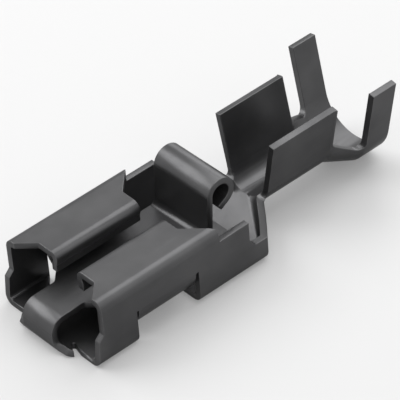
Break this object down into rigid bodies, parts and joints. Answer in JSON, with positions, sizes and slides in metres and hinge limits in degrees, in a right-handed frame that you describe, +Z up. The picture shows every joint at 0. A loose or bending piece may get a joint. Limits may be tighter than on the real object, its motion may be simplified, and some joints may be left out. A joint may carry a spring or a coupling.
{
  "type": "female spade terminal",
  "caption": "Folded sheet-metal female spade terminal with a sprung tongue, in-turned lips and open crimp barrels for wire and insulation.",
  "frame": {"origin": "middle of the overall length and width, on the plane of the underside", "axes": "+X from the mouth to the cable end, +Y across the width, +Z up from the folded floor"},
  "size_m": [0.0234, 0.0078, 0.006],
  "materials": {
    "terminal": "satin, darkened plating"
  },
  "bodies": {
    "root": {"terminal": "terminal"}
  },
  "joints": []
}
